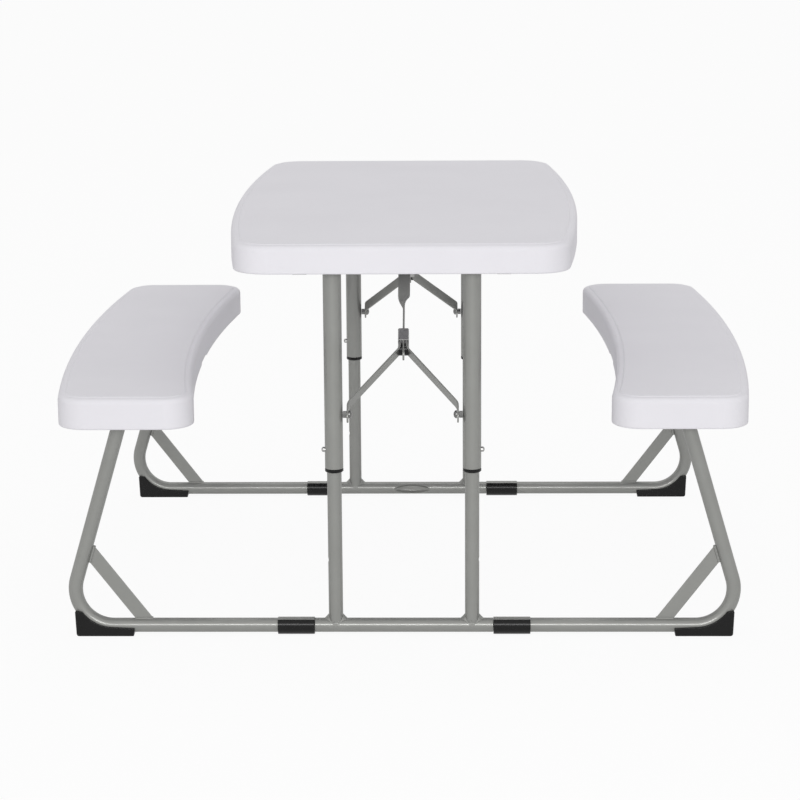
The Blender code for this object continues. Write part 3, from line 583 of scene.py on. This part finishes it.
for end_name, end in ENDS:
    y = end * LEG_Y
    for side_name, side in SIDES:
        prefix = end_name + "_" + side_name
        rounding = BUTTON_PROUD * BUTTON_DOME
        profile = dome(BUTTON_R, LEG_R + BUTTON_PROUD - rounding, rounding)
        profile += [(BUTTON_R, TUBE_R + GAP), (0, TUBE_R + GAP)]
        button = turned(profile, (side * LEG_X, y, BUTTON_Z), (side, 0, 0))
        body, name = prefix + "_push_button", prefix + "_button"
        piece(name + "_pin", button, bright_steel, "bright_steel", body, name)
        seat = (side * (LEG_X - LEG_R), y, BOLT_Z)
        nut_end = GAP + NUT_LENGTH
        nut = turned([(0, GAP), (NUT_R, GAP), (NUT_R, nut_end), (0, nut_end)], seat, (-side, 0, 0), 6)
        head = nut_end + BAR_THICK + 2 * GAP
        profile = dome(BOLT_HEAD_R, head + BOLT_RIM, BOLT_HEAD - BOLT_RIM)
        profile += [(BOLT_HEAD_R, head), (BOLT_R, head), (BOLT_R, nut_end - NUT_LAP), (0, nut_end - NUT_LAP)]
        bolt = merged([nut, turned(profile, seat, (-side, 0, 0))])
        body = end_name + "_leg_set"
        piece(prefix + "_bolt_and_nut", bolt, shaded_zinc_steel, "bright_steel", body, prefix + "_brace_bolt")


# Brackets under the top: pressed steel plate, powder coated with the legs and held by cross-head
# screws. A long plate with two saddles, trimmed close under the tube, holds each pivot tube; a small
# plate with two cheeks and a pin holds the upper end of each strut.
PLATE_UNDER, SADDLE_UNDER, STRUT_PIVOT_Z, CHEEK_INNER, CHEEK = 0.5097, 0.4862, 0.463, 0.0083, 0.0020
LEG_SCREWS_X, LEG_SCREWS_Y = (-0.116, -0.045, 0.045, 0.116), (-0.0147, 0.0147)
STRUT_SCREWS_X, STRUT_SCREWS_Y = (-0.0142, 0.0142), (-0.0138, 0.0138)
TRIM_X, TRIM_Y, LEG_PLATE_EDGE, STRUT_PLATE_EDGE = 0.2, 0.03, 0.0005, 0.0004


def soften(shape, width, segments):
    """Round off a shape's sharp edges."""
    sharp = [edge for edge in shape.edges if edge.calc_face_angle(0) > math.radians(40)]
    rounding = {"segments": segments, "profile": 0.5, "affect": "EDGES", "clamp_overlap": True}
    bmesh.ops.bevel(shape, geom=sharp, offset=width, **rounding)
    return shape


def refined(node, width):
    """A solid's own shape with its sharp edges rounded off."""
    shape = bmesh.new()
    shape.from_mesh(frame["nodes"][node].data)
    bmesh.ops.remove_doubles(shape, verts=shape.verts, dist=0.00001)
    bmesh.ops.dissolve_limit(shape, angle_limit=math.radians(1), verts=shape.verts, edges=shape.edges)
    return soften(shape, width, 2)


def block(low, high):
    shape = bmesh.new()
    bmesh.ops.create_cube(shape, size=1)
    low, high = Vector(low), Vector(high)
    bmesh.ops.scale(shape, vec=high - low, verts=shape.verts)
    bmesh.ops.translate(shape, vec=(low + high) / 2, verts=shape.verts)
    return shape


SCREW_R, SCREW_HEAD, CROSS_LONG, CROSS_WIDE = 0.0036, 0.0019, 0.0019, 0.0004
profile = [(0, -SCREW_HEAD), (SCREW_R * 0.45, -SCREW_HEAD * 0.96), (SCREW_R * 0.8, -SCREW_HEAD * 0.72)]
profile += [(SCREW_R, -SCREW_HEAD * 0.25), (SCREW_R, 0), (0, 0)]
slots = [
    block((-x, -y, -2 * SCREW_HEAD), (x, y, -SCREW_HEAD * 0.4))
    for x, y in ((CROSS_LONG, CROSS_WIDE), (CROSS_WIDE, CROSS_LONG))
]
screw = cut(turned(profile, (0, 0, 0), (0, 0, 1), 28), *slots)


def screws(points, z):
    """Cross-head screws driven up into a face at height z, each turned its own way."""
    made = []
    for i, (x, y) in enumerate(points):
        turned_screw = screw.copy()
        matrix = Matrix.Translation((x, y, z)) @ Matrix.Rotation(0.7 * i, 4, "Z")
        bmesh.ops.transform(turned_screw, matrix=matrix, verts=turned_screw.verts)
        made.append(turned_screw)
    return merged(made)


for end_name, end in ENDS:
    name = end_name + "_leg_bracket"
    y = end * LEG_Y
    below = block((-TRIM_X, y - TRIM_Y, 0), (TRIM_X, y + TRIM_Y, SADDLE_UNDER))
    plate = cut(refined(name, LEG_PLATE_EDGE), below)
    piece(name + "_plate", plate, grey_steel, "grey_steel", "tabletop", name)
    holes = [(side_x, y + side_y) for side_x in LEG_SCREWS_X for side_y in LEG_SCREWS_Y]
    piece(name + "_screws", screws(holes, PLATE_UNDER), bright_steel, "bright_steel", "tabletop")
    name = end_name + "_strut_bracket"
    clevis = refined(name, STRUT_PLATE_EDGE)
    piece(name + "_clevis", clevis, grey_steel, "grey_steel", "tabletop", name)
    y = end * STRUT_Y
    holes = [(side_x, y + side_y) for side_x in STRUT_SCREWS_X for side_y in STRUT_SCREWS_Y]
    piece(name + "_screws", screws(holes, PLATE_UNDER), bright_steel, "bright_steel", "tabletop")


# Folding braces: two flat steel bars bent into a wishbone, riveted at the knee to a flat strut with
# a quarter twist, with black plastic wedges filling the gap between them round the rivet. A plated
# lock ring slides down the strut over the joint to hold it straight.
BRACE_RUN, KNEE_REACH = 0.166, 0.106
BRACE_ANGLE = math.atan2(STRUT_PIVOT_Z - BOLT_Z, BRACE_RUN)
STRUT_REACH = math.hypot(STRUT_PIVOT_Z - BOLT_Z, BRACE_RUN) - KNEE_REACH
BAR_X, KNEE_X, BAR_HALF, BAR_END, BAR_TIP = 0.0721, 0.0044, 0.0085, 0.0115, 0.0115
BAR_RISE, BAR_BEND, BAR_EASE, BAR_EDGE = 0.0136, 0.0050, 0.0045, 0.0005
BAR_SPREAD = (BAR_X - KNEE_X) / (KNEE_REACH - BAR_BEND - BAR_RISE)
STRUT_HALF, STRUT_THICK, STRUT_TAIL, BARREL_R, BARREL_WALL = 0.0080, 0.0024, 0.0200, 0.0050, 0.0022
PIN_R, PIN_PROUD = 0.0026, 0.0006
TWIST_START, TWIST_LENGTH = 0.064, 0.023
WEDGE_THIN, WEDGE_THICK, WEDGE_R, WEDGE_DROP, WEDGE_FLARE = 0.0015, 0.0046, 0.0085, 0.0038, 0.0005
RIVET_R, RIVET_HEAD_R, RIVET_HEAD = 0.0025, 0.0040, 0.0018
RING_LENGTH, RING_WALL, RING_X, RING_Z = 0.0190, 0.0015, 0.0058, 0.0088
RING_CORNER, RING_EDGE = 0.0008, 0.0005


def brace_frame(end, reach):
    """Axes of a brace: X across, Y up along the brace, from a point at a distance from the bolts."""
    along = Vector((0, -end * math.cos(BRACE_ANGLE), math.sin(BRACE_ANGLE)))
    across = Vector((1, 0, 0))
    turn = Matrix((across, along, across.cross(along))).transposed().to_4x4()
    return Matrix.Translation(Vector((0, end * LEG_Y, BOLT_Z)) + along * reach) @ turn


def strip(stations, thick, matrix):
    """Flat bar: stations give its centre, the way it faces, its width direction and half its width."""
    shape = bmesh.new()
    rings = []
    for centre, face, wide, half in stations:
        c, t = min(BAR_EDGE, half / 3), thick / 2
        section = [(-half, c - t), (-half, t - c), (c - half, t), (half - c, t)]
        section += [(half, t - c), (half, c - t), (half - c, -t), (c - half, -t)]
        rings.append([shape.verts.new(matrix @ (centre + wide * w + face * n)) for w, n in section])
    join_rings(shape, rings)
    shape.faces.new(rings[0])
    shape.faces.new(rings[-1])
    return shape


def eased(path, reach, steps=7):
    """A path with its corners rounded off from a reach on each side."""
    path = [Vector(point) for point in path]
    points = [path[0]]
    for before, corner, after in zip(path, path[1:], path[2:]):
        first = corner + (before - corner).normalized() * reach
        last = corner + (after - corner).normalized() * reach
        for i in range(steps + 1):
            share = i / steps
            points.append(first * (1 - share) ** 2 + corner * 2 * share * (1 - share) + last * share**2)
    return points + [path[-1]]


def round_ends(half):
    """Distance from a round end and half the width there."""
    turns = [math.pi / 2 * (i + 1) / 9 for i in range(9)]
    return [(half * (1 - math.cos(a)), half * math.sin(a)) for a in turns]


def rounded_box(half_x, half_y, radius, steps):
    """An outline of four corners, each turned about a point half_x and half_y from the middle."""
    points = []
    for side_x, side_y, start in ((1, 1, 0), (-1, 1, 0.5), (-1, -1, 1), (1, -1, 1.5)):
        turn = start * math.pi
        points += arc(side_x * half_x, side_y * half_y, radius, turn, turn + math.pi / 2, steps)
    return points


ALONG, FACE, WIDE = Vector((0, 1, 0)), Vector((1, 0, 0)), Vector((0, 0, 1))
for end_name, end in ENDS:
    base, knee = brace_frame(end, 0), brace_frame(end, KNEE_REACH)
    swing, link = end_name + "_wishbone", end_name + "_strut_link"
    for side_name, side in SIDES:
        top = KNEE_REACH + BAR_TIP
        tips = round_ends(BAR_HALF)
        low_run = [(Vector((BAR_X, d - BAR_END, 0)), w) for d, w in tips]
        high_run = [(Vector((KNEE_X, top - d, 0)), w) for d, w in reversed(tips)]
        corners = [low_run[-1][0], (BAR_X, BAR_RISE, 0), (KNEE_X, KNEE_REACH - BAR_BEND, 0), high_run[0][0]]
        run = low_run + [(point, BAR_HALF) for point in eased(corners, BAR_EASE)[1:-1]] + high_run
        points = [Vector((side * point.x, point.y, 0)) for point, _ in run]
        stations = []
        for i, (point, (_, half)) in enumerate(zip(points, run)):
            along = (points[min(i + 1, len(points) - 1)] - points[max(i - 1, 0)]).normalized()
            stations.append((point, along.cross(WIDE), WIDE, half))
        name = end_name + "_" + side_name + "_brace_bar"
        piece(name + "_flat", strip(stations, BAR_THICK, base), grey_steel, "grey_steel", swing, name)
    stations = [(ALONG * (d - STRUT_TAIL), FACE, WIDE, w) for d, w in round_ends(STRUT_HALF)]
    for i in range(25):
        share = i / 24
        turn = Matrix.Rotation(math.pi / 2 * share * share * (3 - 2 * share), 3, "Y")
        stations.append((ALONG * (TWIST_START + TWIST_LENGTH * share), turn @ FACE, turn @ WIDE, STRUT_HALF))
    stations.append((ALONG * (STRUT_REACH - BARREL_R * 0.85), turn @ FACE, turn @ WIDE, STRUT_HALF))
    pivot = knee @ (ALONG * STRUT_REACH)
    eye = tube([pivot - FACE * STRUT_HALF, pivot + FACE * STRUT_HALF], BARREL_R, BARREL_WALL)
    strut = merged([strip(stations, STRUT_THICK, knee), eye])
    piece(end_name + "_strut_flat", strut, grey_steel, "grey_steel", link, end_name + "_strut")
    pin_half = CHEEK_INNER + CHEEK + PIN_PROUD
    pin = solid_rod([pivot - FACE * pin_half, pivot + FACE * pin_half], PIN_R, 24)
    piece(end_name + "_strut_pin", pin, bright_steel, "bright_steel", "tabletop")
    inner = STRUT_THICK / 2 + GAP
    # Black plastic wedges fill the gap between the strut and the bars round the rivet.
    knee_wedge_shapes = []
    for side in (-1, 1):
        wedge, rings = bmesh.new(), []
        for i in range(1, 24):
            turn = math.pi * i / 24
            y, half = -WEDGE_DROP - WEDGE_R * math.cos(turn), WEDGE_R * math.sin(turn)
            outer = inner + min(WEDGE_THIN + max(0, -BAR_BEND - WEDGE_FLARE - y) * BAR_SPREAD, WEDGE_THICK)
            section = [(inner, -half), (outer, -half), (outer, half), (inner, half)]
            rings.append([wedge.verts.new(knee @ Vector((side * x, y, z))) for x, z in section])
        join_rings(wedge, rings)
        wedge.faces.new(rings[0])
        wedge.faces.new(rings[-1])
        hole = [knee @ (FACE * side * reach) for reach in (0, inner + 2 * WEDGE_THIN)]
        knee_wedge_shapes.append(cut(wedge, solid_rod(hole, RIVET_R + COPE_GAP, 24)))
    wedges, name = merged(knee_wedge_shapes), end_name + "_knee_rivet"
    piece(end_name + "_knee_spacers", wedges, black_plastic, "black_plastic", swing, name)
    bar = inner + WEDGE_THIN + BAR_THICK + 2 * GAP
    half = dome(RIVET_HEAD_R, bar, RIVET_HEAD, 7) + [(RIVET_R, bar)]
    rivet = turned(half + [(r, -h) for r, h in reversed(half)], knee.translation, (1, 0, 0))
    piece(end_name + "_knee_pin", rivet, bright_steel, "bright_steel", swing)
    ring_low = RIVET_HEAD_R + GAP
    low_edge = [(0, RING_EDGE), (RING_WALL * 0.3, 0), (RING_WALL * 0.7, 0), (RING_WALL, RING_EDGE)]
    high_edge = [(spread, RING_LENGTH - y) for spread, y in reversed(low_edge)]
    rings, ring = [], bmesh.new()
    for spread, y in low_edge + high_edge:
        loop = rounded_box(RING_X - RING_CORNER, RING_Z - RING_CORNER, RING_CORNER + spread, 6)
        rings.append([ring.verts.new(knee @ Vector((x, ring_low + y, z))) for x, z in loop])
    join_rings(ring, rings, closed=True)
    body, name = end_name + "_ring", end_name + "_lock_ring"
    piece(end_name + "_ring_band", ring, bright_steel, "bright_steel", body, name)


# Bench end frames: steel tube flared to a socket at its inner end and bent up from the floor to the
# bench, with a flat gusset bar welded across the bend and a plate welded on top. The plate is screwed
# up into the bench, and a black moulded foot clips under the bend.
BEND_X, BEND_RADIUS, LEAN = 0.3865, 0.050, math.radians(16.5)
BENCH_UNDER = BENCH_HEIGHT - BENCH_PANEL
PLATE_X, PLATE_Y, PLATE_THICK, PLATE_CORNER, PLATE_EDGE = 0.070, 0.044, 0.0025, 0.006, 0.0004
PLATE_SCREWS_X, PLATE_SCREWS_Y = (-0.027, 0.027), (-0.014, 0.014)
LEVEL_REACH, HALO_R, HALO_DROP, HALO_RIPPLE = 0.05, 0.0016, 0.0003, 0.16
GUSSET_X, GUSSET_TOP, GUSSET_WIDTH, GUSSET_THICK, GUSSET_EDGE = 0.3390, 0.121, 0.0185, 0.0030, 0.0005
GUSSET_FIT, RAIL_BEAD, LEG_BEAD, BEAD_PROUD, BEAD_RIPPLE = 0.0001, 0.0017, 0.0022, 0.0010, 0.12
FOOT_INNER, FOOT_OUTER, FOOT_WIDTH, FOOT_TOP = 0.358, 0.436, 0.025, 0.034
FOOT_TOE, FOOT_HEEL, FOOT_TUCK, FOOT_FLARE, FOOT_EDGE = 0.0105, 0.0035, 0.0015, 0.0012, 0.0011


def slab(outline, thick, width, axis="Y"):
    """An outline made solid to half its thickness on each side, with its edges rounded."""
    shape = bmesh.new()
    if axis == "Y":
        corners = [shape.verts.new((x, -thick / 2, z)) for x, z in outline]
    else:
        corners = [shape.verts.new((x, y, -thick / 2)) for x, y in outline]
    face = shape.faces.new(corners)
    grown = bmesh.ops.extrude_face_region(shape, geom=[face])["geom"]
    shift = (0, thick, 0) if axis == "Y" else (0, 0, thick)
    bmesh.ops.translate(shape, vec=shift, verts=[v for v in grown if isinstance(v, bmesh.types.BMVert)])
    bmesh.ops.recalc_face_normals(shape, faces=shape.faces)
    return soften(shape, width, 3)


def moved(shape, x, y, z):
    bmesh.ops.translate(shape, vec=(x, y, z), verts=shape.verts)
    return shape


def meeting(start, along, other, beside):
    """Where two lines in a plane cross."""
    gap = other - start
    share = (gap.x * beside.y - gap.y * beside.x) / (along.x * beside.y - along.y * beside.x)
    return start + along * share


for side_name, side in SIDES:
    for end_name, end in ENDS:
        y = end * LEG_Y
        prefix = side_name + "_" + end_name
        unit = side_name + "_bench_unit"
        bend = arc(BEND_X, RAIL_Z + BEND_RADIUS, BEND_RADIUS, -math.pi / 2, LEAN, 30)
        high = BENCH_UNDER + TUBE_R * math.sin(LEAN)
        top_x = bend[-1][0] - (high - bend[-1][1]) * math.tan(LEAN)
        line = [(RAIL_HALF + 2 * GAP, RAIL_Z), *bend, (top_x, high)]
        path = [(side * x, y, z) for x, z in line]
        plate_low = BENCH_UNDER - GAP - PLATE_THICK
        level = block(
            (side * top_x - LEVEL_REACH, y - LEVEL_REACH, plate_low),
            (side * top_x + LEVEL_REACH, y + LEVEL_REACH, high + LEVEL_REACH),
        )
        plate = rounded_box(PLATE_X / 2 - PLATE_CORNER, PLATE_Y / 2 - PLATE_CORNER, PLATE_CORNER, 8)
        plate = slab(plate, PLATE_THICK, PLATE_EDGE, "Z")
        plate = moved(plate, side * top_x, y, plate_low + PLATE_THICK / 2)
        foot_x = side * (top_x + (high - plate_low) * math.tan(LEAN))
        circle = arc(0, 0, TUBE_R, 0, 2 * math.pi, 48)
        halo = [(foot_x + px / math.cos(LEAN), y + py, plate_low - HALO_DROP) for px, py in circle]
        mouth = [(side * (RAIL_HALF + GAP + d), y, RAIL_Z) for d in (0, SLEEVE_LENGTH)]
        socket = tube(mouth, SOCKET_R, SOCKET_R - TUBE_R)
        leg = cut(tube(path, TUBE_R, TUBE_WALL), level)
        body = merged([leg, socket, plate, solid_rod(halo, HALO_R, 10, HALO_RIPPLE)])
        piece(prefix + "_bench_leg", body, grey_steel, "grey_steel", unit, prefix + "_bench_tube")
        holes = [(side * top_x + px, y + py) for px in PLATE_SCREWS_X for py in PLATE_SCREWS_Y]
        piece(prefix + "_plate_screws", screws(holes, plate_low), bright_steel, "bright_steel", unit)

        low = Vector((side * GUSSET_X, RAIL_Z))
        tip = Vector((side * (top_x + (high - GUSSET_TOP) * math.tan(LEAN)), GUSSET_TOP))
        rise = (tip - low).normalized()
        across = rise.orthogonal() * GUSSET_WIDTH / 2
        bar = slab([low + across, low - across, tip - across, tip + across], GUSSET_THICK, GUSSET_EDGE)
        bar = cut(moved(bar, 0, y, 0), solid_rod(path, TUBE_R + GUSSET_FIT, 36))
        piece(prefix + "_gusset_bar", bar, grey_steel, "grey_steel", unit, prefix + "_gusset")
        beads = []
        upright = Vector((-side * math.sin(LEAN), math.cos(LEAN)))
        skin = tip - side * Vector((math.cos(LEAN), side * math.sin(LEAN))) * (TUBE_R + BEAD_PROUD)
        runs = (((side * GUSSET_X, RAIL_Z + TUBE_R), (1, 0), RAIL_BEAD), (skin, upright, LEG_BEAD))
        for start, way, bead in runs:
            ends = [meeting(low + edge * across, rise, Vector(start), Vector(way)) for edge in (-1, 1)]
            for face in (-1, 1):
                points = [ends[0].lerp(ends[1], i / 14) for i in range(15)]
                points = [(p.x, y + face * GUSSET_THICK / 2, p.y) for p in points]
                beads.append(solid_rod(points, bead, 10, BEAD_RIPPLE))
        piece(prefix + "_gusset_welds", merged(beads), grey_steel, "grey_steel", unit)

        climb = math.asin((RAIL_Z + BEND_RADIUS - FOOT_TOP) / BEND_RADIUS)
        saddle = arc(BEND_X, RAIL_Z + BEND_RADIUS, BEND_RADIUS, -climb, -math.pi / 2, 14)
        heel = arc(FOOT_OUTER - FOOT_HEEL, FOOT_HEEL, FOOT_HEEL, -math.pi / 2, 0, 5)
        outline = [(FOOT_INNER + FOOT_TUCK, 0), *heel, (FOOT_OUTER + FOOT_FLARE, FOOT_TOP)]
        outline += [*saddle, (FOOT_INNER, FOOT_TOE)]
        shoe = slab([(side * x, z) for x, z in outline], FOOT_WIDTH, FOOT_EDGE)
        shoe = cut(moved(shoe, 0, y, 0), solid_rod(path, TUBE_R + COPE_GAP, 36))
        piece(prefix + "_foot_shoe", shoe, black_plastic, "black_plastic", unit, prefix + "_foot")
screw.free()


# Studio: a wide pale floor that keeps the table's soft shadow, a surround that is white to the camera
# and in reflections, a strip lamp in front beside the camera and a weak one overhead. The camera
# stands at the photograph's place.
FLOOR_HALF, FLOOR_WHITE, ROOM_LIGHT = 40, 0.93, 0.62
floor_mesh = bpy.data.meshes.new("floor")
corners = [(x * FLOOR_HALF, y * FLOOR_HALF, 0) for x, y in ((-1, -1), (1, -1), (1, 1), (-1, 1))]
floor_mesh.from_pydata(corners, [], [(0, 1, 2, 3)])
floor = bpy.data.objects.new("floor", floor_mesh)
bpy.context.scene.collection.objects.link(floor)
paper, shader, place = finish_start("white paper", Roughness=0.9)
shader.inputs["Base Color"].default_value = (0.82, 0.82, 0.82, 1)
shader.inputs["Specular IOR Level"].default_value = 0.0
seen = place.node("LightPath", {}, {}, "Is Camera Ray")
glow = place.node("Emission", {}, {"Color": (1, 1, 1, 1), "Strength": 1.0})
lit = Wire(paper.node_tree, shader.outputs[0])
mirrored = place.node("LightPath", {}, {}, "Is Glossy Ray")
blend = place.node("MixShader", {}, {0: (seen + mirrored) * FLOOR_WHITE, 1: lit, 2: glow})
paper.node_tree.links.new(blend.socket, paper.node_tree.nodes["Material Output"].inputs["Surface"])
floor_mesh.materials.append(paper)

world = bpy.data.worlds.new("studio")
bpy.context.scene.world = world
world.use_nodes = True
surround = Wire(world.node_tree, world.node_tree.nodes["Background"].outputs[0])
shown = surround.node("LightPath", {}, {}, "Is Camera Ray")
gleam = surround.node("LightPath", {}, {}, "Is Glossy Ray")
strength = ROOM_LIGHT + (shown + gleam) * (1 - ROOM_LIGHT)
world.node_tree.links.new(strength.socket, world.node_tree.nodes["Background"].inputs["Strength"])
world.node_tree.nodes["Background"].inputs["Color"].default_value = (1, 1, 1, 1)

LAMPS = (
    ("key", (0.05, -3.8, 1.35), (0, 0, 0.3), 2.0, 0.5, 46.0),
    ("overhead", (0.3, 0.9, 3.3), (0, 0.2, 0), 2.5, 1.5, 9.5),
)
for name, spot, aim, width, height, power in LAMPS:
    lamp = bpy.data.lights.new(name, "AREA")
    lamp.shape = "RECTANGLE"
    lamp.size, lamp.size_y, lamp.energy = width, height, power
    holder = bpy.data.objects.new(name, lamp)
    turn = (Vector(aim) - Vector(spot)).to_track_quat("-Z", "Y").to_matrix().to_4x4()
    holder.matrix_world = Matrix.Translation(spot) @ turn
    holder.visible_camera = False
    bpy.context.scene.collection.objects.link(holder)

EYE, YAW, PITCH, ROLL, LENS = (0.0652, -3.5925, 1.0610), -0.02122, 0.22519, -0.006685, 114.6
ahead = Vector((math.sin(YAW) * math.cos(PITCH), math.cos(YAW) * math.cos(PITCH), -math.sin(PITCH)))
level = Vector((math.cos(YAW), -math.sin(YAW), 0))
over = level.cross(ahead)
right = level * math.cos(ROLL) + over * math.sin(ROLL)
up = over * math.cos(ROLL) - level * math.sin(ROLL)
lens = bpy.data.cameras.new("camera")
lens.lens, lens.sensor_width = LENS, 36.0
camera = bpy.data.objects.new("camera", lens)
camera.matrix_world = Matrix.Translation(EYE) @ Matrix((right, up, -ahead)).transposed().to_4x4()
bpy.context.scene.collection.objects.link(camera)
bpy.context.scene.camera = camera
bpy.context.scene.view_settings.view_transform = "Standard"
